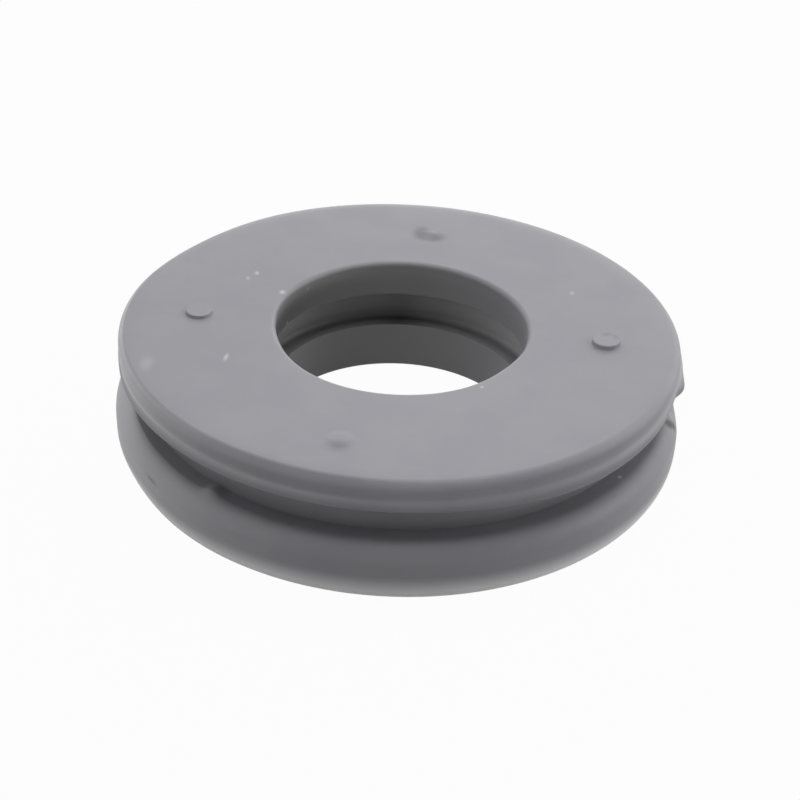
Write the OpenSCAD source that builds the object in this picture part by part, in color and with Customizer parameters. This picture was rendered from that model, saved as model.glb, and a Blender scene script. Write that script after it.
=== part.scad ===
// Rubber seal for a spark plug hole: a moulded ring with two flanges.
// The neck between the flanges holds the rim of the cover's hole, and two lips
// inside the bore close on the plug's tube. The ring lies on its lower flange,
// with its axis on +Z and the origin at the middle of its underside.

/* [Ring] */
// Height from the underside to the top of the rim
ring_height = 11.25; // [10:0.05:14]
// Diameter of the bore at its two lips
bore_diameter = 21.9; // [16:0.1:26]
// Round on the upper and lower edges of the bore
bore_edge_round = 0.5; // [0.2:0.05:0.8]

/* [Top flange] */
// Diameter of the top flange at the bead along its lower edge
top_flange_diameter = 48.4; // [46:0.1:54]
// Round between the top face and the rim
rim_round = 0.9; // [0.5:0.1:1.1]
// Height of the top flange, from its top to its underside
top_flange_height = 2.6; // [2.4:0.05:3]
// Round of the bead along the lower edge of the rim
bead_round = 0.65; // [0.4:0.05:0.8]
// How far the bead stands out from the rim's upright wall
bead_reach = 0.25; // [0.15:0.05:0.35]
// Slope of the flare from the wall out to the bead, in degrees from upright
flare_angle = 30; // [20:1:40]
// Depth by which the top face dips from its rim to the bore
face_dish = 0.35; // [0.1:0.05:0.6]

/* [Neck] */
// Diameter of the neck between the flanges
neck_diameter = 43.8; // [42:0.1:44.6]
// Height of the opening between the two flanges
neck_opening = 3.05; // [2.6:0.05:3.5]
// Hollow round that leads from the neck to the underside of the top flange
flank_round = 1.7; // [0.8:0.1:2.2]

/* [Lower flange] */
// Diameter of the lower flange
lower_flange_diameter = 49; // [46:0.1:54]
// Round on the shoulder, the upper edge of the lower flange
shoulder_round = 1.5; // [0.6:0.05:2]
// Round on the foot, the lower edge of the lower flange
foot_round = 2.3; // [1:0.05:2.6]

/* [Bore lips] */
// Height of the upper lip
upper_lip_height = 3.3; // [2.5:0.1:4]
// Height of the groove between the lips
lip_groove_height = 3.1; // [2:0.1:3.6]
// Depth of the groove between the lips
lip_groove_depth = 1.6; // [0.8:0.1:2.4]
// Round in the corners of the groove between the lips
lip_groove_round = 0.5; // [0.2:0.05:0.7]

/* [Nibs] */
// Diameter of the circle that the nibs stand near
nib_circle_diameter = 34.8; // [31:0.1:36]
// Diameter of one nib
nib_diameter = 2.5; // [1.6:0.1:3.4]
// Height of the tallest nib above the top face
nib_height = 0.38; // [0.3:0.02:0.6]
// Round on the top edge of a nib
nib_round = 0.08; // [0.04:0.02:0.1]

/* [Hidden] */
$fn = 96;
// Directions of the four nibs, which the mould places a little unevenly
nib_angles = [-6, 82, 179, 257];
// How far each nib stands outside the nib circle
nib_offsets = [0, -0.7, -0.2, 1.2];
// Height of each nib as a share of the tallest
nib_shares = [1, 0.35, 0.75, 0.35];
// Depth that a nib's root sinks below the top face, so that the two are one piece
nib_root = 0.5;
// Margin by which a cutting shape passes the faces that it cuts
cut_margin = 1;

top_flange_r = top_flange_diameter / 2;
lower_flange_r = lower_flange_diameter / 2;
neck_r = neck_diameter / 2;
bore_r = bore_diameter / 2;
bore_rim_r = bore_r + bore_edge_round;
nib_r = nib_diameter / 2;
wall_r = top_flange_r - bead_reach;
face_r = wall_r - rim_round;
bead_r = top_flange_r - bead_round;
lip_top_z = ring_height - face_dish;
wall_top_z = ring_height - rim_round;
underside_z = ring_height - top_flange_height;
bead_z = underside_z + bead_round;
shoulder_z = underside_z - neck_opening;
lip_groove_z = lip_top_z - upper_lip_height - lip_groove_height;

// Height of the dished top face at a radius
function face_z(radius) = ring_height - face_dish * (face_r - radius) / (face_r - bore_rim_r);

// Top flange: a disc with a round upper edge, an upright wall and a bead along its lower edge.
// The flare leaves the wall at flare_angle and runs into the bead as its tangent.
module top_flange_section() {
    touch_r = bead_r + bead_round * cos(flare_angle);
    touch_z = bead_z + bead_round * sin(flare_angle);
    flare_z = touch_z + (touch_r - wall_r) / tan(flare_angle);
    translate([0, underside_z]) square([face_r, top_flange_height]);
    translate([0, bead_z]) square([wall_r, wall_top_z - bead_z]);
    translate([0, underside_z]) square([bead_r, bead_round]);
    translate([bead_r, bead_z]) circle(r = bead_round);
    polygon([[bead_r, bead_z], [touch_r, touch_z], [wall_r, flare_z], [bead_r, flare_z]]);
    translate([face_r, wall_top_z])
        intersection() {
            circle(r = rim_round);
            square(rim_round);
        }
}

// Neck, with the hollow round that carries the top flange's overhang
module neck_section() {
    square([neck_r, underside_z]);
    difference() {
        translate([neck_r, underside_z - flank_round]) square(flank_round);
        translate([neck_r + flank_round, underside_z - flank_round]) circle(r = flank_round);
    }
}

// Lower flange: a plump disc with a round shoulder above and a round foot below
module lower_flange_section() {
    square([lower_flange_r - foot_round, foot_round]);
    translate([0, foot_round]) square([lower_flange_r, shoulder_z - shoulder_round - foot_round]);
    translate([0, shoulder_z - shoulder_round]) square([lower_flange_r - shoulder_round, shoulder_round]);
    translate([lower_flange_r - foot_round, foot_round]) circle(r = foot_round);
    translate([lower_flange_r - shoulder_round, shoulder_z - shoulder_round]) circle(r = shoulder_round);
}

// Groove between the lips, with round corners at its bottom
module lip_groove_section() {
    groove_r = bore_r + lip_groove_depth;
    corner_r = groove_r - lip_groove_round;
    low_corner_z = lip_groove_z + lip_groove_round;
    high_corner_z = lip_groove_z + lip_groove_height - lip_groove_round;
    translate([0, lip_groove_z]) square([corner_r, lip_groove_height]);
    translate([0, low_corner_z]) square([groove_r, high_corner_z - low_corner_z]);
    translate([corner_r, low_corner_z]) circle(r = lip_groove_round);
    translate([corner_r, high_corner_z]) circle(r = lip_groove_round);
}

// Flare that rounds off one edge of the bore, drawn for the lower edge
module bore_edge_section() {
    difference() {
        square([bore_rim_r, bore_edge_round]);
        translate([bore_rim_r, bore_edge_round]) circle(r = bore_edge_round);
    }
}

// Shallow dish that the top face is sunk by, deepest at the bore
module dish_section() {
    top_z = ring_height + cut_margin;
    polygon([[0, lip_top_z], [bore_rim_r, lip_top_z], [face_r, ring_height], [face_r, top_z], [0, top_z]]);
}

// What the bore takes away: the hole, its two rounded edges and the groove between the lips
module bore_section() {
    translate([0, -cut_margin]) square([bore_r, ring_height + 2 * cut_margin]);
    bore_edge_section();
    translate([0, lip_top_z]) mirror([0, 1]) bore_edge_section();
    lip_groove_section();
}

// Half section of the ring, to the right of its axis
module ring_section() {
    difference() {
        union() {
            top_flange_section();
            neck_section();
            lower_flange_section();
        }
        dish_section();
        bore_section();
    }
}

// One nib of a given height: a low round button with a softened top edge and a root in the ring
module nib(height) {
    wall_height = nib_root + height - nib_round;
    rotate_extrude() {
        square([nib_r, wall_height]);
        square([nib_r - nib_round, nib_root + height]);
        translate([nib_r - nib_round, wall_height])
            intersection() {
                circle(r = nib_round);
                square(nib_round);
            }
    }
}

module seal_ring() {
    color("dimgray") {
        rotate_extrude() ring_section();
        for (i = [0 : len(nib_angles) - 1]) {
            place_r = nib_circle_diameter / 2 + nib_offsets[i];
            rotate(nib_angles[i])
                translate([place_r, 0, face_z(place_r) - nib_root])
                    nib(nib_height * nib_shares[i]);
        }
    }
}

seal_ring();
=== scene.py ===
"""Looks of a spark plug hole seal: one moulded grey rubber ring that lies on a pale floor.

The ring's section is carried round the bore's axis as one numpy surface, and four small nibs
stand on its top face. Everything is in metres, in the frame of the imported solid: +Z up along
the bore, origin in the middle of the underside, the viewer on the -Y side.
"""

import logging
import math
from dataclasses import dataclass, field
from enum import Enum
from typing import Any

import bpy
import numpy as np
from mathutils import Matrix, Vector


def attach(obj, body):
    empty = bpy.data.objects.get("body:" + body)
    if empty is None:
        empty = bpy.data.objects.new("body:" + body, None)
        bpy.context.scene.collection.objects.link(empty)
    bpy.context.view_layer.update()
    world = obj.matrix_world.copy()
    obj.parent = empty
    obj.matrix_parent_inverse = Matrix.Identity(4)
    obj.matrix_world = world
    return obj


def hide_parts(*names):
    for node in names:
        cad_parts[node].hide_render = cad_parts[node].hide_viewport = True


LOG = logging.getLogger("spark_plug_hole_seal")
MM = 0.001
BODY = "root"
NODE = "seal_ring"
PHOTO_SIDE_PX = 800
END_GAP_MM = 0.04
WHITE = (1.0, 1.0, 1.0, 1.0)

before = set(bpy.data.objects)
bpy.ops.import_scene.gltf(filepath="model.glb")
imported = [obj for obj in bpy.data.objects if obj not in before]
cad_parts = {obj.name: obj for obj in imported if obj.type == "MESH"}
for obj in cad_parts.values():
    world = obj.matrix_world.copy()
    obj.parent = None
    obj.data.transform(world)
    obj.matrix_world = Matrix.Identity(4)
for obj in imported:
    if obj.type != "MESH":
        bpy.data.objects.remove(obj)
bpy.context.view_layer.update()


class Mark(Enum):
    """Names of the vertex attributes with the shares of painted light, painted shade and the bore's darker
    grey.
    """

    # painted light: a pale colour laid where the ring catches more light
    PAINTED_LIGHT = "painted_light"
    # painted shade: a dark colour laid in hollows, under the bead and on shaded sides
    PAINTED_SHADE = "painted_shade"
    # painted shade: a slightly darker neutral grey inside the bore, left off the right wall
    BORE_SHADE = "bore"


def linear_colour(hex_code: str) -> tuple[float, float, float, float]:
    """Turns an sRGB hex value into a linear colour.

    Args:
        hex_code: Six hex digits, with or without a leading hash sign.

    Returns:
        Linear red, green and blue, and an alpha of 1.
    """
    code = hex_code.lstrip("#")
    srgb = np.array([int(code[i:i + 2], 16) for i in (0, 2, 4)]) / 255.0
    linear = np.where(srgb <= 0.04045, srgb / 12.92, ((srgb + 0.055) / 1.055) ** 2.4)
    return (*linear.tolist(), 1.0)


def add_node(
    tree: bpy.types.NodeTree,
    kind: str,
    inputs: dict[Any, Any] | None = None,
    **settings: Any,
) -> bpy.types.Node:
    """Adds one node to a tree, sets its properties and fills or links its sockets.

    Args:
        tree: The tree that takes the node.
        kind: Blender's type name of the node.
        inputs: Socket name or number to a value, or to an output socket that is linked to it.
        settings: The node's own properties.

    Returns:
        The new node.
    """
    node = tree.nodes.new(kind)
    for name, value in settings.items():
        setattr(node, name, value)
    for key, value in (inputs or {}).items():
        if isinstance(value, bpy.types.NodeSocket):
            tree.links.new(value, node.inputs[key])
        else:
            node.inputs[key].default_value = value
    return node


def arc(centre: tuple[float, float], radius: float, start: float, end: float, count: int) -> np.ndarray:
    """Points on a circle's arc: centre plus radius times cosine and sine of an even run of angles.

    Args:
        centre: The arc's centre as (r, z).
        radius: The arc's radius.
        start: Angle of the first point in degrees, counted from +r towards +z.
        end: Angle of the last point in degrees.
        count: Number of points.

    Returns:
        An array of (r, z) rows.
    """
    angles = np.radians(np.linspace(start, end, count))
    return np.stack([centre[0] + radius * np.cos(angles), centre[1] + radius * np.sin(angles)], axis=-1)


def straight(start: tuple[float, float], end: tuple[float, float], count: int) -> np.ndarray:
    """Points on the line between two (r, z) points, without the two ends themselves.

    The first and the last point stay close to the ends, so that a flat face keeps its flat
    shading right up to the round that follows it.

    Args:
        start: Where the line starts.
        end: Where the line ends.
        count: Number of points between the ends, at least 2.

    Returns:
        An array of (r, z) rows.
    """
    near = END_GAP_MM / math.dist(start, end)
    share = np.linspace(near, 1.0 - near, count)[:, None]
    return np.asarray(start) * (1.0 - share) + np.asarray(end) * share


def fade(value: np.ndarray, start: float, span: float) -> np.ndarray:
    """Share that rises as a value falls: (start - value) / span, kept between 0 and 1.

    Args:
        value: Heights or radii, in mm.
        start: Where the share leaves 0.
        span: How far below the start the share reaches 1.

    Returns:
        The share at each value.
    """
    return np.clip((start - value) / span, 0.0, 1.0)


def wrapped(angle: np.ndarray) -> np.ndarray:
    """Brings angles into the half turn on either side of zero.

    Args:
        angle: Angles in radians.

    Returns:
        The same directions between -pi and pi.
    """
    return (angle + math.pi) % (2.0 * math.pi) - math.pi


def grid_faces(rows: int, columns: int, closed_rows: bool) -> np.ndarray:
    """Quads of a grid whose columns close into a ring, with corners row by row.

    Args:
        rows: Number of points along the section.
        columns: Number of points around the axis.
        closed_rows: Whether the section's last row joins its first.

    Returns:
        An array of four vertex numbers per face.
    """
    last = rows if closed_rows else rows - 1
    row = np.arange(last)[:, None]
    column = np.arange(columns)[None, :]
    next_row = (row + 1) % rows
    next_column = (column + 1) % columns
    corners = [row * columns + column, next_row * columns + column,
               next_row * columns + next_column, row * columns + next_column]
    return np.stack(corners, axis=-1).reshape(-1, 4)


def mesh_object(name: str, vertices: np.ndarray, faces: list[np.ndarray]) -> bpy.types.Object:
    """Makes a smooth-shaded mesh object at the origin from arrays.

    Args:
        name: Name of the piece.
        vertices: One (x, y, z) row per vertex, in metres.
        faces: Arrays of vertex numbers, one row per face.

    Returns:
        The new object, linked to the scene.
    """
    mesh = bpy.data.meshes.new(name)
    polygons = [polygon for block in faces for polygon in block.tolist()]
    mesh.from_pydata(vertices.tolist(), [], polygons)
    mesh.polygons.foreach_set("use_smooth", np.ones(len(mesh.polygons), bool))
    mesh.update()
    piece = bpy.data.objects.new(name, mesh)
    bpy.context.scene.collection.objects.link(piece)
    return piece


@dataclass(frozen=True)
class Fleck:
    """A mark on the rubber, such as lint or a scuff, or a patch of painted shade: an ellipsoid that tints
    what it touches.

    Its middle and half sizes are in mm, its turn about +Z in degrees, and its share is how much
    of its colour shows in the core, which is a share of its half sizes.
    """

    name: str
    place: tuple[float, float, float]
    half: tuple[float, float, float]
    turn: float
    colour: str
    share: float
    core: float = 0.5


LINT = "#f4f4f2"
PALE = "#b9b9bb"
# dark colour for the dash on the lower flange and the smudges on the nibs, and for painted shade in the nick
# and in front of the front nib
DIRT_AND_SHADE = "#3b3b39"
FLECKS: tuple[Fleck, ...] = (
    Fleck("lint on the left", (-14.16, -6.80, 11.03), (0.9, 0.28, 0.2), 83.0, LINT, 0.4, 0.0),
    Fleck("lint at the back, near", (-13.07, 7.83, 11.02), (0.32, 0.5, 0.2), 0.0, LINT, 0.35, 0.1),
    Fleck("lint at the back, far", (-13.77, 6.83, 11.02), (0.25, 0.55, 0.2), 0.0, LINT, 0.22, 0.1),
    Fleck("chip by the bore", (-10.52, 4.70, 10.91), (0.42, 0.5, 0.25), 0.0, LINT, 0.4, 0.1),
    Fleck("scuff on the left", (-20.4, -8.6, 11.22), (0.9, 1.9, 0.4), 0.0, PALE, 0.35, 0.0),
    Fleck("faint lint on the right", (15.16, 6.45, 11.05), (0.3, 0.5, 0.2), 0.0, LINT, 0.2, 0.2),
    Fleck("faint lint in front of the bore", (6.76, -9.60, 10.91), (0.25, 0.3, 0.2), 0.0, LINT, 0.3, 0.2),
    Fleck("dot in the outer groove", (18.05, -13.82, 5.60), (0.25, 0.25, 0.2), 0.0, LINT, 0.45, 0.2),
    Fleck("dash on the lower flange", (-19.45, -14.9, 4.15), (1.4, 0.5, 0.36), -53.0, DIRT_AND_SHADE, 0.6, 0.0),
    # painted shade: near-black patches in the nick of the shoulder on the right
    Fleck("painted shade in the nick, inside", (23.1, -5.42, 5.38), (0.75, 0.95, 0.5), -13.0, DIRT_AND_SHADE, 0.95, 0.2),
    Fleck("painted shade in the nick, middle", (23.38, -5.28, 5.18), (0.6, 0.9, 0.5), -13.0, DIRT_AND_SHADE, 0.75, 0.0),
    Fleck("painted shade in the nick, outside", (23.6, -5.1, 4.95), (0.65, 0.9, 0.55), -13.0, DIRT_AND_SHADE, 0.85, 0.1),
    # darker patches behind the right nib and to its right
    Fleck("darker patch behind the right nib", (17.55, -1.16, 11.4), (0.8, 0.65, 0.4), 0.0, DIRT_AND_SHADE, 0.26, 0.0),
    Fleck("darker patch right of the right nib", (18.3, -1.6, 11.42), (0.55, 0.9, 0.4), 0.0, DIRT_AND_SHADE, 0.22, 0.0),
    # dark smudges on the back nib
    Fleck("dark smudge on the back nib, left", (1.65, 16.95, 11.1), (1.2, 1.9, 0.5), 0.0, DIRT_AND_SHADE, 0.5, 0.1),
    Fleck("dark smudge on the back nib, front", (2.95, 16.3, 11.1), (1.45, 1.3, 0.5), 0.0, DIRT_AND_SHADE, 0.5, 0.1),
    # painted shade: the dark crescent in front of the low front nib
    Fleck("painted shade in front of the front nib", (-4.3, -19.1, 11.1), (1.4, 1.2, 0.5), 0.0, DIRT_AND_SHADE, 0.26, 0.0),
    Fleck("speck on the bore's left wall", (-10.09, 4.26, 8.04), (0.4, 0.3, 0.2), 0.0, PALE, 0.4, 0.2),
    Fleck("speck on the bore's back wall", (-8.40, 7.03, 10.1), (0.4, 0.3, 0.25), 0.0, PALE, 0.35, 0.2),
)


@dataclass(frozen=True)
class MouldedRubber:
    """Grey nitrile rubber, pressed in a fine-blasted steel mould.

    It gives the eye a dull even grey with a soft sheen at flat angles, a faint cloudy bloom and a
    grain too fine to count; a pale colour is painted on as light and a dark one as shade.
    """

    base: str = "#94939a"
    bloom: str = "#98979d"
    # slightly darker neutral grey painted as shade inside the bore
    bore_shade_grey: str = "#8f8f8f"
    # pale colour painted as light on the foot, the flare, the rim's left side, the neck and the bore's
    # groove
    painted_light: str = "#f6f6f6"
    # dark colour painted as shade in the neck, under the bead, in the bore and on the nibs
    painted_shade: str = "#2e2e2f"
    roughness: float = 0.5
    ior: float = 1.5
    sheen: float = 0.15
    sheen_roughness: float = 0.4
    cloud_mm: float = 5.0
    cloud_detail: float = 3.0
    cloud_roughness: float = 0.55
    cloud_band: tuple[float, float] = (0.35, 0.65)
    # the blasted mould's grain, drawn coarser than the real one so that it shows
    grain_mm: float = 0.22
    grain_detail: float = 2.0
    grain_depth_mm: float = 0.006
    flecks: tuple[Fleck, ...] = FLECKS

    def material(self) -> bpy.types.Material:
        """Builds the node material.

        Returns:
            The finished material.
        """
        made = bpy.data.materials.new("moulded_nitrile_rubber")
        made.use_nodes = True
        tree = made.node_tree
        tree.nodes.clear()
        place = add_node(tree, "ShaderNodeTexCoord").outputs["Object"]
        clouds = add_node(tree, "ShaderNodeTexNoise", {
            "Vector": place, "Scale": 1.0 / (self.cloud_mm * MM),
            "Detail": self.cloud_detail, "Roughness": self.cloud_roughness,
        })
        cloud_share = add_node(tree, "ShaderNodeMapRange", {
            "Value": clouds.outputs["Fac"], "From Min": self.cloud_band[0], "From Max": self.cloud_band[1],
        }, interpolation_type="SMOOTHSTEP")
        colour = add_node(tree, "ShaderNodeMix", {
            "Factor": cloud_share.outputs["Result"],
            "A": linear_colour(self.base), "B": linear_colour(self.bloom),
        }, data_type="RGBA").outputs["Result"]
        # mixes in the bore's darker grey, the painted shade and the painted light by the ring's vertex
        # attributes
        layers = ((Mark.BORE_SHADE, self.bore_shade_grey), (Mark.PAINTED_SHADE, self.painted_shade), (Mark.PAINTED_LIGHT, self.painted_light))
        for mark, tint in layers:
            share = add_node(tree, "ShaderNodeAttribute", attribute_name=mark.value)
            colour = self.tinted(tree, colour, tint, share.outputs["Fac"])
        for fleck in self.flecks:
            colour = self.tinted(tree, colour, fleck.colour, self.fleck_share(tree, place, fleck))
        grain = add_node(tree, "ShaderNodeTexNoise", {
            "Vector": place, "Scale": 1.0 / (self.grain_mm * MM), "Detail": self.grain_detail,
        })
        bump = add_node(tree, "ShaderNodeBump", {
            "Height": grain.outputs["Fac"], "Distance": self.grain_depth_mm * MM, "Strength": 1.0,
        })
        shader = add_node(tree, "ShaderNodeBsdfPrincipled", {
            "Base Color": colour, "Roughness": self.roughness, "IOR": self.ior,
            "Sheen Weight": self.sheen, "Sheen Roughness": self.sheen_roughness,
            "Normal": bump.outputs["Normal"],
        })
        add_node(tree, "ShaderNodeOutputMaterial", {"Surface": shader.outputs["BSDF"]})
        return made

    @staticmethod
    def tinted(
        tree: bpy.types.NodeTree, colour: bpy.types.NodeSocket, tint: str, share: bpy.types.NodeSocket,
    ) -> bpy.types.NodeSocket:
        """Mixes one colour over another.

        Args:
            tree: The material's tree.
            colour: The colour below.
            tint: Hex value of the colour on top.
            share: How much of the top colour shows, 0 to 1.

        Returns:
            The mixed colour.
        """
        return add_node(tree, "ShaderNodeMix", {
            "Factor": share, "A": colour, "B": linear_colour(tint),
        }, data_type="RGBA").outputs["Result"]

    @staticmethod
    def fleck_share(
        tree: bpy.types.NodeTree, place: bpy.types.NodeSocket, fleck: Fleck,
    ) -> bpy.types.NodeSocket:
        """Share of a fleck's colour: full in its core, none outside its ellipsoid.

        Args:
            tree: The material's tree.
            place: Object coordinates.
            fleck: The mark.

        Returns:
            The share, 0 to the fleck's own share.
        """
        local = add_node(tree, "ShaderNodeMapping", {
            "Vector": place, "Location": Vector(fleck.place) * MM,
            "Rotation": (0.0, 0.0, math.radians(fleck.turn)), "Scale": Vector(fleck.half) * MM,
        }, vector_type="TEXTURE")
        away = add_node(tree, "ShaderNodeVectorMath", {0: local.outputs["Vector"]}, operation="LENGTH")
        return add_node(tree, "ShaderNodeMapRange", {
            "Value": away.outputs["Value"], "From Min": fleck.core, "From Max": 1.0,
            "To Min": fleck.share, "To Max": 0.0,
        }, interpolation_type="SMOOTHSTEP").outputs["Result"]


@dataclass(frozen=True)
class Flaw:
    """A small fault of the moulding: its place on the section, its spread and its push, in mm.

    The angle is in degrees. The push moves the surface by (outwards, upwards) in the middle.
    """

    name: str
    angle: float
    r: float
    z: float
    along: float
    across: float
    push: tuple[float, float]


@dataclass(frozen=True)
class PaintedLightAndShade:
    """Where painted light, painted shade and the bore's slightly darker grey lie on the ring.

    Shares run from 0 to 1, reaches and fades are in mm, directions and spreads in radians. A name
    with left or right is the share that is added, or taken away where it says less, on that side.
    """

    wall_margin: float = 0.1
    edge_margin: float = 0.02
    # shares of painted light on the foot, the flare, the rim's left side, the neck's hollow and the left
    # flank
    foot_reach: float = 0.7
    foot_fade: float = 1.4
    foot_power: float = 1.3
    foot_front: float = 3.0
    stripe: float = 0.2
    stripe_half: float = 0.3
    rim_edge: float = 0.35
    rim_edge_fade: float = 0.1
    rim_wall: float = 0.3
    rim_wall_fade: float = 0.3
    hollow: float = 0.22
    hollow_low: float = 0.8
    hollow_high: float = 0.05
    flank: float = 0.36
    # shares of painted shade in the neck, under the bead and on the rim's wall at the front left
    neck: float = 0.12
    neck_left: float = 0.12
    neck_less_right: float = 0.1
    neck_reach: float = 0.1
    neck_fade: float = 0.6
    neck_low: float = 0.12
    ledge_reach: float = 0.45
    ledge_fade: float = 0.5
    root: float = 0.03
    root_right: float = 0.22
    root_fade: float = 1.2
    bead: float = 0.15
    bead_left: float = 0.12
    bead_right: float = 0.15
    wall_shade: float = 0.17
    wall_shade_turn: float = -2.0
    wall_shade_spread: float = 0.4
    wall_shade_inset: float = 0.3
    # share of painted shade on the top face's left side
    left_face_shade: float = 0.06
    face_shade_depth: float = 0.01
    # shares of painted shade on the bore's lips and in its groove
    lip_fade: float = 0.3
    lip_drop: float = 0.1
    recess_margin: float = 0.01
    recess_floor_fade: float = 0.35
    recess_floor: float = 0.45
    recess_floor_less_right: float = 0.35
    recess_back: float = 0.3
    recess_back_spread: float = 0.18
    # painted light on the side floors of the bore's groove
    recess_light_right: float = 0.7
    recess_light_left: float = 0.2
    upper_lip: float = 0.12
    upper_lip_left: float = 0.8
    upper_lip_drop: float = 0.4
    upper_lip_fade: float = 1.2
    lower_lip_left: float = 0.25

    def layers(
        self, ring: "SealRing", r: np.ndarray, z: np.ndarray, turn: np.ndarray,
    ) -> dict[Mark, np.ndarray]:
        """Works out the share of each mark at each point of the ring.

        Args:
            ring: The ring, for its sizes.
            r: Distance of each point from the axis, in mm.
            z: Height of each point, in mm.
            turn: Direction of each point, in radians.

        Returns:
            The shares, one array per mark.
        """
        left = np.clip(-np.cos(turn), 0.0, 1.0)
        right = np.clip(np.cos(turn), 0.0, 1.0)
        outside = r > ring.neck_r - self.wall_margin
        # painted shade on the top face's left side
        face = self.left_face_shade * left * (z > ring.lip_top - self.face_shade_depth) * (r < ring.face_r)
        lips = fade(r, ring.bore_r + self.lip_fade, self.lip_fade) * (z < ring.lip_top - self.lip_drop)
        groove_r = ring.bore_r + ring.groove_depth
        recess = (r < groove_r + self.wall_margin) & (z < ring.groove_top)
        recess &= z > ring.groove_low - self.recess_margin
        deep = fade(z, ring.groove_low + self.recess_floor_fade, self.recess_floor_fade)
        # painted light on the side floors of the bore's groove, most on the right
        pale = self.recess_light_right * right ** 2 + self.recess_light_left * left ** 2
        # painted shade at the back of the bore's groove and towards its floor, less on the right
        away = wrapped(turn - 0.5 * math.pi) / self.recess_back_spread
        inner_shade = self.recess_back * np.exp(-away ** 2)
        inner_shade = inner_shade + deep * (self.recess_floor - self.recess_floor_less_right * right)
        inner_shade = np.where(recess, inner_shade, self.lip_painted_shade(ring, z, left) * lips)
        # painted light outside and on the groove's side floors, painted shade, and the bore's darker grey
        return {
            Mark.PAINTED_LIGHT: np.where(
                outside, self.outer_painted_light(ring, r, z, turn), np.where(recess, pale * (1.0 - deep), 0.0)),
            Mark.PAINTED_SHADE: np.maximum(np.where(outside, self.outer_painted_shade(ring, r, z, turn), inner_shade), face),
            # painted shade inside the bore, left off the right wall where more light falls
            Mark.BORE_SHADE: np.maximum(lips, recess) * (1.0 - right ** 2),
        }

    def outer_painted_light(self, ring: "SealRing", r: np.ndarray, z: np.ndarray, turn: np.ndarray) -> np.ndarray:
        """Painted light on the foot's front, along the flare, on the rim's left side, in the neck's hollow
        on the right and on the lower flange's left flank.

        Args:
            ring: The ring, for its sizes.
            r: Distance of each point from the axis, in mm.
            z: Height of each point, in mm.
            turn: Direction of each point, in radians.

        Returns:
            The share of painted light on the ring's outside.
        """
        front = 0.5 - 0.5 * np.sin(turn)
        left = np.clip(-np.cos(turn), 0.0, 1.0)
        right = np.clip(np.cos(turn), 0.0, 1.0)
        # painted light from the floor on the foot, most in front
        low = fade(z, ring.foot_round + self.foot_reach, self.foot_fade)
        foot = low ** self.foot_power * np.clip(self.foot_front * front, 0.0, 1.0)
        # painted highlight along the flare, most at the left and the right
        stripe = self.stripe * np.exp(-((z - ring.flare_z) / self.stripe_half) ** 2) * np.cos(turn) ** 2
        # painted light on the rim's round and wall on the left
        edge = (r > ring.face_r - self.edge_margin) & (z > ring.flare_z)
        rim = left ** 5 * edge * (
            self.rim_edge * fade(z, ring.height - self.edge_margin, self.rim_edge_fade)
            + self.rim_wall * fade(z, ring.height - self.rim_wall_fade, self.rim_wall_fade))
        # painted light in the neck's hollow on the right
        hollow = self.hollow * right ** 1.5 * (z > ring.shoulder_z + self.hollow_low)
        hollow = hollow * (z < ring.underside_z + self.hollow_high)
        # painted light on the lower flange's left flank
        flank = self.flank * left ** 3 * (r > ring.lower_r - ring.shoulder_round) * (z < ring.shoulder_z)
        return np.maximum(foot + stripe + rim + hollow, flank)

    def outer_painted_shade(self, ring: "SealRing", r: np.ndarray, z: np.ndarray, turn: np.ndarray) -> np.ndarray:
        """Painted shade in the neck, below the bead and on the rim's wall at the front left.

        Args:
            ring: The ring, for its sizes.
            r: Distance of each point from the axis, in mm.
            z: Height of each point, in mm.
            turn: Direction of each point, in radians.

        Returns:
            The share of painted shade on the ring's outside.
        """
        left = np.clip(-np.cos(turn), 0.0, 1.0)
        right = np.clip(np.cos(turn), 0.0, 1.0)
        # painted shade in the neck and under the bead, deeper towards the neck's root
        below = fade(z, ring.flare[1][1] + self.neck_reach, self.neck_fade)
        below = below * (z > ring.shoulder_z - self.neck_low)
        ledge = fade(r, ring.lower_r - ring.shoulder_round + self.ledge_reach, self.ledge_fade)
        root = fade(z, ring.shoulder_z + self.root_fade, self.root_fade)
        neck = below * ledge * (
            self.neck + self.neck_left * left ** 2 - self.neck_less_right * right
            + root * (self.root + self.root_right * right))
        bead = below * (self.bead + self.bead_left * left ** 2 + self.bead_right * right)
        # painted shade on the rim's wall at the front left
        wall = (r > ring.face_r + self.wall_shade_inset) & (z > ring.flare_z)
        wall_shade = self.wall_shade * np.exp(-(wrapped(turn - self.wall_shade_turn) / self.wall_shade_spread) ** 2) * wall
        return np.where(z > ring.underside_z, bead, neck) + wall_shade

    def lip_painted_shade(self, ring: "SealRing", z: np.ndarray, left: np.ndarray) -> np.ndarray:
        """Painted shade on the bore's lips, most on the left and deep down.

        Args:
            ring: The ring, for its sizes.
            z: Height of each point, in mm.
            left: How far each point lies to the left, 0 to 1.

        Returns:
            The share of painted shade on the upper and the lower lip.
        """
        sunk = fade(z, ring.lip_top - self.upper_lip_drop, self.upper_lip_fade)
        upper = self.upper_lip_left * sunk * left ** 1.5 + self.upper_lip * sunk ** 2
        return np.where(z > ring.groove_top, upper, self.lower_lip_left * left ** 1.5)


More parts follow.
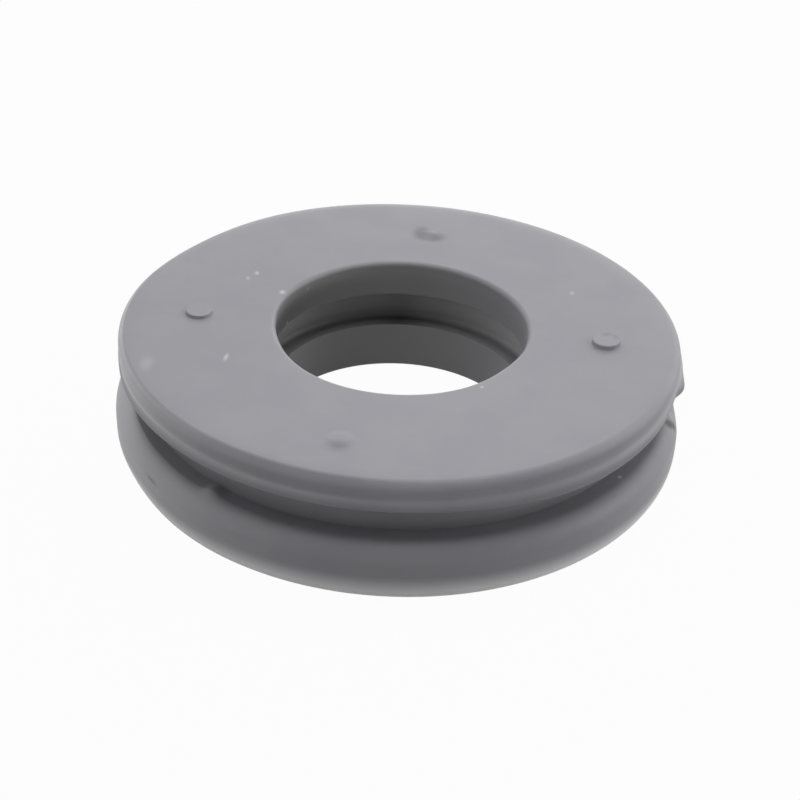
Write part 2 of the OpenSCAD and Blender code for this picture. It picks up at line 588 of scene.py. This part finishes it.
@dataclass
class SealRing:
    """The moulded ring: two flanges, the neck between them and the lipped bore. Sizes in mm."""

    height: float = 11.25
    bore_r: float = 10.95
    bore_edge: float = 0.4
    top_r: float = 24.2
    rim_round: float = 0.68
    flange_height: float = 2.6
    bead_round: float = 0.65
    bead_reach: float = 0.25
    flare_angle: float = 30.0
    dish: float = 0.35
    neck_r: float = 21.9
    neck_opening: float = 3.05
    flank_round: float = 1.6
    lower_r: float = 24.5
    shoulder_round: float = 1.5
    foot_round: float = 2.3
    upper_lip: float = 3.3
    groove_height: float = 3.1
    groove_depth: float = 1.6
    groove_round: float = 0.5
    lip_round: float = 0.35
    columns: int = 508
    crowding: float = 3.0
    fine_steps: int = 7201
    sharp_angle: float = 35.0
    painted_light_and_shade: PaintedLightAndShade = PaintedLightAndShade()
    flaws: tuple[Flaw, ...] = (
        Flaw("flash tab on the rim", -12.3, 24.05, 8.85, 1.9, 0.42, (0.44, -0.1)),
        Flaw("end of the tab", -16.4, 24.2, 8.95, 0.9, 0.6, (-0.18, 0.0)),
        Flaw("thin edge by the tab", -20.5, 24.2, 9.1, 2.5, 0.8, (-0.2, 0.0)),
        Flaw("sag of the rim's lower edge", -48.0, 24.0, 9.2, 10.0, 0.9, (0.0, -0.2)),
        Flaw("thick lower edge on the right", -50.0, 23.8, 8.8, 8.0, 0.7, (0.0, -0.35)),
        Flaw("worn edge of the rim in front", -107.0, 23.7, 11.05, 13.0, 0.6, (-0.28, -0.05)),
        Flaw("worn edge of the rim at the back", 90.0, 23.6, 11.1, 36.0, 0.75, (-0.35, -0.2)),
        Flaw("worn edge of the rim at the back left", 147.0, 23.6, 11.1, 7.0, 0.75, (-0.2, -0.12)),
        Flaw("thin edge on the left", 190.0, 24.2, 9.2, 5.5, 0.9, (-0.28, 0.0)),
        Flaw("soft shoulder on the left", 190.0, 24.0, 5.3, 6.0, 0.9, (-0.5, -0.3)),
        Flaw("thin foot on the left", -150.0, 24.4, 2.3, 5.8, 2.0, (-0.27, 0.0)),
        Flaw("lump on the shoulder", -127.6, 22.8, 5.6, 0.8, 0.7, (0.0, 0.42)),
        Flaw("bite in the shoulder", -2.5, 24.2, 5.1, 2.9, 1.1, (-0.75, -0.3)),
        Flaw("thick lip on the bore's left", 194.0, 11.1, 10.6, 5.0, 1.3, (-0.33, 0.0)),
        Flaw("thick lip on the bore's right", -37.0, 11.1, 10.6, 3.5, 1.3, (-0.22, 0.0)),
        Flaw("thin lip at the bore's back", 85.0, 11.1, 10.6, 7.0, 1.3, (0.18, 0.0)),
    )
    piece: bpy.types.Object = field(init=False)

    @property
    def wall_r(self) -> float:
        """Radius of the rim's upright wall."""
        return self.top_r - self.bead_reach

    @property
    def face_r(self) -> float:
        """Radius where the dished face ends and the rim's round begins."""
        return self.wall_r - self.rim_round

    @property
    def underside_z(self) -> float:
        """Height of the top flange's underside."""
        return self.height - self.flange_height

    @property
    def shoulder_z(self) -> float:
        """Height of the lower flange's top, where the neck has its root."""
        return self.underside_z - self.neck_opening

    @property
    def lip_top(self) -> float:
        """Height of the bore's upper edge, where the dished face is lowest."""
        return self.height - self.dish

    @property
    def groove_top(self) -> float:
        """Height of the upper lip's underside, where the bore's groove begins."""
        return self.lip_top - self.upper_lip

    @property
    def groove_low(self) -> float:
        """Height of the lower lip's top, where the bore's groove ends."""
        return self.groove_top - self.groove_height

    @property
    def bead(self) -> tuple[float, float]:
        """Middle of the bead along the rim's lower edge, as (r, z)."""
        return self.top_r - self.bead_round, self.underside_z + self.bead_round

    @property
    def flare(self) -> tuple[tuple[float, float], tuple[float, float]]:
        """Ends of the flare from the wall to the bead, whose tangent it is, as two (r, z)."""
        slope = math.radians(self.flare_angle)
        touch = (self.bead[0] + self.bead_round * math.cos(slope),
                 self.bead[1] + self.bead_round * math.sin(slope))
        return (self.wall_r, touch[1] + (touch[0] - self.wall_r) / math.tan(slope)), touch

    @property
    def flare_z(self) -> float:
        """Height of the flare's middle."""
        return 0.5 * (self.flare[0][1] + self.flare[1][1])

    def face_z(self, radius: float | np.ndarray) -> float | np.ndarray:
        """Height of the dished top face at a radius.

        Args:
            radius: Distance from the bore's axis, one or many.

        Returns:
            The face's height there.
        """
        inner = self.bore_r + self.bore_edge
        return self.height - self.dish * (self.face_r - radius) / (self.face_r - inner)

    def section(self) -> np.ndarray:
        """Closed outline of the half section, from the bore's top edge outwards and round.

        Faces are straight runs and every round is a circle's arc that leaves its faces smoothly.
        The last number of each run is its count of points.

        Returns:
            An array of (r, z) rows in mm.
        """
        top = self.height
        lip_top, groove_top, groove_low = self.lip_top, self.groove_top, self.groove_low
        edge_r = self.bore_r + self.bore_edge
        groove_r = self.bore_r + self.groove_depth
        corner = self.groove_round
        hollow = (self.neck_r + self.flank_round, self.underside_z - self.flank_round)
        shoulder = (self.lower_r - self.shoulder_round, self.shoulder_z - self.shoulder_round)
        foot = (self.lower_r - self.foot_round, self.foot_round)
        return np.concatenate([
            arc((edge_r, lip_top - self.bore_edge), self.bore_edge, 180, 90, 6),
            straight((edge_r, lip_top), (self.face_r, top), 24),
            arc((self.face_r, top - self.rim_round), self.rim_round, 90, 0, 14),
            straight((self.wall_r, top - self.rim_round), self.flare[0], 4),
            straight(*self.flare, 4),
            arc(self.bead, self.bead_round, self.flare_angle, -90, 16),
            straight((self.bead[0], self.underside_z), (hollow[0], self.underside_z), 3),
            arc(hollow, self.flank_round, 90, 180, 14),
            straight((self.neck_r, hollow[1]), (self.neck_r, self.shoulder_z), 6),
            np.array([[self.neck_r, self.shoulder_z]]),
            straight((self.neck_r, self.shoulder_z), (shoulder[0], self.shoulder_z), 5),
            arc(shoulder, self.shoulder_round, 90, 0, 14),
            straight((self.lower_r, shoulder[1]), (self.lower_r, foot[1]), 6),
            arc(foot, self.foot_round, 0, -90, 18),
            straight((foot[0], 0.0), (edge_r, 0.0), 12),
            arc((edge_r, self.bore_edge), self.bore_edge, 270, 180, 6),
            straight((self.bore_r, self.bore_edge), (self.bore_r, groove_low), 8),
            np.array([[self.bore_r, groove_low]]),
            straight((self.bore_r, groove_low), (groove_r - corner, groove_low), 3),
            arc((groove_r - corner, groove_low + corner), corner, 270, 360, 6),
            straight((groove_r, groove_low + corner), (groove_r, groove_top - corner), 5),
            arc((groove_r - corner, groove_top - corner), corner, 0, 90, 6),
            straight((groove_r - corner, groove_top), (self.bore_r + self.lip_round, groove_top), 3),
            arc((self.bore_r + self.lip_round, groove_top + self.lip_round), self.lip_round, 270, 180, 5),
            straight((self.bore_r, groove_top + self.lip_round), (self.bore_r, lip_top - self.bore_edge), 6),
        ])

    def turn(self) -> np.ndarray:
        """Angles of the columns, closer together near the flaws.

        The columns are even steps in the running sum of a density: 1, plus a bell at each flaw.

        Returns:
            The angles in radians, rising.
        """
        fine = np.linspace(0.0, 2.0 * math.pi, self.fine_steps)
        density = np.ones_like(fine)
        for flaw in self.flaws:
            away = wrapped(fine - math.radians(flaw.angle)) * flaw.r / (2.0 * flaw.along)
            density += self.crowding / max(flaw.along, 1.0) * np.exp(-away ** 2)
        total = np.concatenate([[0.0], np.cumsum(0.5 * (density[1:] + density[:-1]))])
        steps = np.linspace(0.0, total[-1], self.columns, endpoint=False)
        return np.interp(steps, total, fine)

    def build(self) -> bpy.types.Object:
        """Carries the section round the axis: x = r cos t, y = r sin t, z = z.

        Each flaw pushes r and z by its push times a bell of the distance along and across.

        Returns:
            The ring as one closed surface.
        """
        outline = self.section()
        turn = np.broadcast_to(self.turn()[None, :], (len(outline), self.columns))
        r0 = np.repeat(outline[:, :1], self.columns, axis=1)
        z0 = np.repeat(outline[:, 1:], self.columns, axis=1)
        r, z = r0.copy(), z0.copy()
        for flaw in self.flaws:
            along = wrapped(turn - math.radians(flaw.angle)) * flaw.r / flaw.along
            across = np.hypot(r0 - flaw.r, z0 - flaw.z) / flaw.across
            bell = np.exp(-along ** 2 - across ** 2)
            r += flaw.push[0] * bell
            z += flaw.push[1] * bell
        z = np.maximum(z, 0.0)
        points = np.stack([r * np.cos(turn), r * np.sin(turn), z], axis=-1).reshape(-1, 3)
        faces = grid_faces(len(outline), self.columns, closed_rows=True)
        self.piece = mesh_object("seal_ring_surface", points * MM, [faces])
        self.mark(r0, z0, turn)
        self.piece.data.set_sharp_from_angle(angle=math.radians(self.sharp_angle))
        return self.piece

    def mark(self, r: np.ndarray, z: np.ndarray, turn: np.ndarray) -> None:
        """Writes where painted light, painted shade and the bore's darker grey are, for the finish.

        Args:
            r: Distance of each point from the axis, in mm.
            z: Height of each point, in mm.
            turn: Direction of each point, in radians.
        """
        for mark, value in self.painted_light_and_shade.layers(self, r, z, turn).items():
            layer = self.piece.data.attributes.new(mark.value, "FLOAT", "POINT")
            layer.data.foreach_set("value", value.astype(np.float32).ravel())

    def dress(self, rubber: bpy.types.Material) -> None:
        """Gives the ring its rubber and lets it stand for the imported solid.

        Args:
            rubber: The ring's material.
        """
        self.piece.data.materials.append(rubber)
        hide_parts(NODE)
        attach(self.piece, BODY)


@dataclass(frozen=True)
class NibForm:
    """One nib's place and form in mm: where it stands, its front's height, flat top and foot radius.

    The trim is the share of the front's spread, foot less flat, that the sides and the back have,
    and the last number is its share of painted shade on the flank, most at the front.
    """

    name: str
    radius: float
    angle: float
    height: float
    flat: float
    foot: float
    trim: float
    painted_shade: float


@dataclass
class Nibs:
    """The four small buttons on the top face, which lean a little and spread most in front.

    The sink is the depth in mm of a foot's edge below the face, the lean a share of the height.
    """

    ring: SealRing
    sink: float = 0.004
    lean: float = 0.04
    columns: int = 72
    rows: int = 20
    top_rows: int = 6
    forms: tuple[NibForm, ...] = (
        NibForm("right", 17.55, -6.7, 0.345, 1.15, 1.45, 0.2, 0.2),
        NibForm("back", 16.7, 82.0, 0.04, 0.5, 1.3, 1.0, 0.0),
        NibForm("left", 17.3, 179.0, 0.25, 1.08, 1.36, 0.2, 0.35),
        NibForm("front", 18.6, 257.0, 0.06, 0.4, 1.4, 1.0, 0.0),
    )
    pieces: list[bpy.types.Object] = field(default_factory=list)

    def build(self) -> list[bpy.types.Object]:
        """Turns each nib's half section about its own axis.

        The flank rises by the smooth step u * u * (3 - 2 u), where u runs from 0 at the foot to 1
        at the edge of the flat top. The rise is times 1 - lean - lean * y / flat, so the front is
        the highest, and the foot's spread falls from the front to the sides by a cubed cosine.

        Returns:
            One object per nib.
        """
        turn = np.linspace(0.0, 2.0 * math.pi, self.columns, endpoint=False)[None, :]
        rise = np.linspace(0.0, 1.0, self.rows)
        for form in self.forms:
            flank = np.stack([1.0 - rise, rise ** 2 * (3.0 - 2.0 * rise)], axis=-1)
            outline = np.concatenate([flank, straight((0.0, 1.0), (-form.flat, 1.0), self.top_rows)])
            spread, share = outline[:, :1], outline[:, 1:]
            front = form.trim + (1.0 - form.trim) * (0.5 - 0.5 * np.sin(turn)) ** 3
            r = form.flat + np.where(spread > 0.0, (form.foot - form.flat) * front, 1.0) * spread
            way = math.radians(form.angle)
            middle = form.radius * np.array([math.cos(way), math.sin(way)])
            x = middle[0] + r * np.cos(turn)
            y = middle[1] + r * np.sin(turn)
            rest = 1.0 - self.lean
            height = form.height * np.minimum(rest - self.lean * r * np.sin(turn) / form.flat, 1.0)
            z = self.ring.face_z(np.hypot(x, y)) + (height + self.sink) * share - self.sink
            tip = [*middle, self.ring.face_z(form.radius) + rest * form.height]
            points = np.concatenate([np.stack([x, y, z], axis=-1).reshape(-1, 3), [tip]])
            sides = grid_faces(len(outline), self.columns, closed_rows=False)[:, ::-1]
            first = (len(outline) - 1) * self.columns
            ring = np.arange(self.columns)
            cap = np.stack([first + ring, first + (ring + 1) % self.columns,
                            np.full_like(ring, len(points) - 1)], axis=-1)
            piece = mesh_object(f"nib_{form.name}", points * MM, [sides, cap])
            # painted shade on each nib's flank, most at the front, plus the top face's painted shade on the
            # left
            painted_shade = form.painted_shade * np.sin(math.pi * np.append(rise, np.zeros(len(outline) - len(rise))))
            left_face_shade = self.ring.painted_light_and_shade.left_face_shade * max(-math.cos(way), 0.0)
            values = np.append((left_face_shade + painted_shade[:, None] * front).ravel(), left_face_shade)
            layer = piece.data.attributes.new(Mark.PAINTED_SHADE.value, "FLOAT", "POINT")
            layer.data.foreach_set("value", values.astype(np.float32))
            self.pieces.append(piece)
        return self.pieces

    def dress(self, rubber: bpy.types.Material) -> None:
        """Gives the nibs the ring's rubber and fixes them to its body.

        Args:
            rubber: The ring's material.
        """
        for piece in self.pieces:
            piece.data.materials.append(rubber)
            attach(piece, BODY)


@dataclass
class Softbox:
    """A soft studio lamp: a lit square panel that points at the ring. Sizes in mm."""

    name: str
    place: tuple[float, float, float]
    side: float
    watts: float

    def build(self, target: Vector) -> bpy.types.Object:
        """Makes the lamp and turns it to the target.

        Args:
            target: The point it looks at, in metres.

        Returns:
            The lamp object.
        """
        lamp = bpy.data.lights.new(self.name, "AREA")
        lamp.shape = "SQUARE"
        lamp.size = self.side * MM
        lamp.energy = self.watts
        made = bpy.data.objects.new(self.name, lamp)
        made.location = Vector(self.place) * MM
        made.rotation_euler = (target - made.location).to_track_quat("-Z", "Y").to_euler()
        bpy.context.scene.collection.objects.link(made)
        return made


@dataclass
class Studio:
    """A pale floor, a white backdrop and soft lamps around the ring. Sizes in mm.

    The floor's white and gloss are the shares of plain white that the camera and mirrored rays see.
    """

    floor_side: float = 3000.0
    floor_drop: float = 0.01
    target_height: float = 5.0
    floor_colour: str = "#ababab"
    floor_white: float = 0.97
    floor_gloss: float = 0.82
    lamps: tuple[Softbox, ...] = (
        Softbox("top_lamp", (0.0, 0.0, 600.0), 400.0, 1.63),
        Softbox("back_lamp", (0.0, 566.0, 198.0), 400.0, 1.05),
        Softbox("back_right_lamp", (400.0, 400.0, 198.0), 400.0, 0.95),
        Softbox("high_back_right_lamp", (300.0, 300.0, 424.0), 400.0, 0.37),
        Softbox("back_left_lamp", (-400.0, 400.0, 198.0), 400.0, 0.61),
        Softbox("right_lamp", (566.0, 0.0, 198.0), 400.0, 1.3),
        Softbox("left_lamp", (-566.0, 0.0, 198.0), 400.0, 0.35),
        Softbox("high_left_lamp", (-424.0, 0.0, 424.0), 400.0, 0.29),
        Softbox("front_left_lamp", (-400.0, -400.0, 198.0), 400.0, 0.2),
        Softbox("high_front_left_lamp", (-300.0, -300.0, 424.0), 400.0, 0.13),
        Softbox("front_lamp", (0.0, -566.0, 198.0), 400.0, 0.18),
    )

    def build(self) -> None:
        """Makes the floor, the backdrop and the lamps."""
        self.floor()
        self.backdrop()
        target = Vector((0.0, 0.0, self.target_height)) * MM
        for lamp in self.lamps:
            lamp.build(target)

    def floor(self) -> bpy.types.Object:
        """Makes the floor, which the camera sees as white apart from the ring's faint shadow.

        Returns:
            The floor object.
        """
        half = 0.5 * self.floor_side
        low = -self.floor_drop
        corners = np.array([[-half, -half, low], [half, -half, low], [half, half, low], [-half, half, low]])
        made = mesh_object("pale_floor", corners * MM, [np.array([[0, 1, 2, 3]])])
        finish = bpy.data.materials.new("matt_pale_card")
        finish.use_nodes = True
        tree = finish.node_tree
        tree.nodes.clear()
        card = add_node(tree, "ShaderNodeBsdfDiffuse", {"Color": linear_colour(self.floor_colour)})
        glow = add_node(tree, "ShaderNodeEmission", {"Strength": 1.0})
        path = add_node(tree, "ShaderNodeLightPath")
        mirrored = add_node(tree, "ShaderNodeMath", {
            0: path.outputs["Is Glossy Ray"], 1: self.floor_gloss,
        }, operation="MULTIPLY")
        share = add_node(tree, "ShaderNodeMath", {
            0: path.outputs["Is Camera Ray"], 1: self.floor_white, 2: mirrored.outputs[0],
        }, operation="MULTIPLY_ADD")
        mixed = add_node(tree, "ShaderNodeMixShader", {
            "Fac": share.outputs[0], 1: card.outputs["BSDF"], 2: glow.outputs["Emission"],
        })
        add_node(tree, "ShaderNodeOutputMaterial", {"Surface": mixed.outputs["Shader"]})
        made.data.materials.append(finish)
        return made

    def backdrop(self) -> None:
        """Sets a world that the camera sees as white and that gives no light of its own."""
        world = bpy.data.worlds.new("studio_backdrop")
        world.use_nodes = True
        tree = world.node_tree
        tree.nodes.clear()
        path = add_node(tree, "ShaderNodeLightPath")
        dark = add_node(tree, "ShaderNodeBackground", {"Color": WHITE, "Strength": 0.0})
        white = add_node(tree, "ShaderNodeBackground", {"Color": WHITE, "Strength": 1.0})
        mixed = add_node(tree, "ShaderNodeMixShader", {
            "Fac": path.outputs["Is Camera Ray"],
            1: dark.outputs["Background"], 2: white.outputs["Background"],
        })
        add_node(tree, "ShaderNodeOutputWorld", {"Surface": mixed.outputs["Shader"]})
        bpy.context.scene.world = world


@dataclass
class PhotoCamera:
    """The camera at the photograph's viewing angle. Sizes in mm, angles in degrees."""

    distance: float = 132.0
    elevation: float = 29.9589
    roll: float = 2.4056
    focal_px: float = 1541.33
    aim: tuple[float, float] = (0.21, -12.54)
    sensor: float = 36.0
    near: float = 5.0

    def build(self, face_z: float) -> bpy.types.Object:
        """Places the camera on the -Y side of the top face's middle and turns it to its aim.

        Args:
            face_z: Height of the rim's top, which the distance and the aim are counted from.

        Returns:
            The camera object.
        """
        tilt = math.radians(self.elevation)
        place = Vector((0.0, -self.distance * math.cos(tilt), face_z + self.distance * math.sin(tilt)))
        forward = (Vector((*self.aim, face_z)) - place).normalized()
        right = forward.cross(Vector((0.0, 0.0, 1.0))).normalized()
        up = right.cross(forward)
        lean = math.radians(self.roll)
        leaning_right = right * math.cos(lean) + up * math.sin(lean)
        leaning_up = up * math.cos(lean) - right * math.sin(lean)
        lens = bpy.data.cameras.new("photo_camera")
        lens.sensor_width = self.sensor
        lens.lens = self.focal_px / PHOTO_SIDE_PX * self.sensor
        lens.clip_start = self.near * MM
        made = bpy.data.objects.new("photo_camera", lens)
        turn = Matrix((leaning_right, leaning_up, -forward)).transposed()
        made.matrix_world = Matrix.Translation(place * MM) @ turn.to_4x4()
        bpy.context.scene.collection.objects.link(made)
        bpy.context.scene.camera = made
        return made


def main() -> None:
    """Builds the ring, its nibs, the studio and the camera, in that order."""
    logging.basicConfig(level=logging.INFO, format="%(message)s")
    bpy.context.scene.view_settings.view_transform = "Standard"
    rubber = MouldedRubber().material()
    ring = SealRing()
    LOG.info("built %s", ring.build().name)
    ring.dress(rubber)
    nibs = Nibs(ring)
    for piece in nibs.build():
        LOG.info("built %s", piece.name)
    nibs.dress(rubber)
    Studio().build()
    LOG.info("built the floor, the backdrop and the lamps")
    PhotoCamera().build(ring.height)
    LOG.info("built the camera")


if __name__ == "__main__":
    main()
